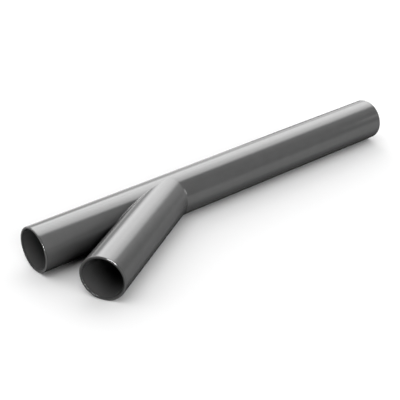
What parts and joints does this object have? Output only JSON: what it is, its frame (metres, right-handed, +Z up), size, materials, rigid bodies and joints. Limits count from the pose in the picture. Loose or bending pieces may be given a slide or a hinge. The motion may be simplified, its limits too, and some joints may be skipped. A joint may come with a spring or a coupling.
{
  "type": "duct y branch",
  "caption": "Round duct Y branch: a straight tube with an equal branch tube joining it at a shallow angle, plain ends for couplings.",
  "frame": {"origin": "on the surface the fitting lies on, under the middle of its plan", "axes": "+X along the straight run towards its far end, +Y away from the branch, +Z up"},
  "size_m": [0.5, 0.1336, 0.05],
  "materials": {
    "tube": "dark neutral grey rigid plastic, moulded glossy"
  },
  "bodies": {
    "root": {"y_branch": "tube"}
  },
  "joints": []
}
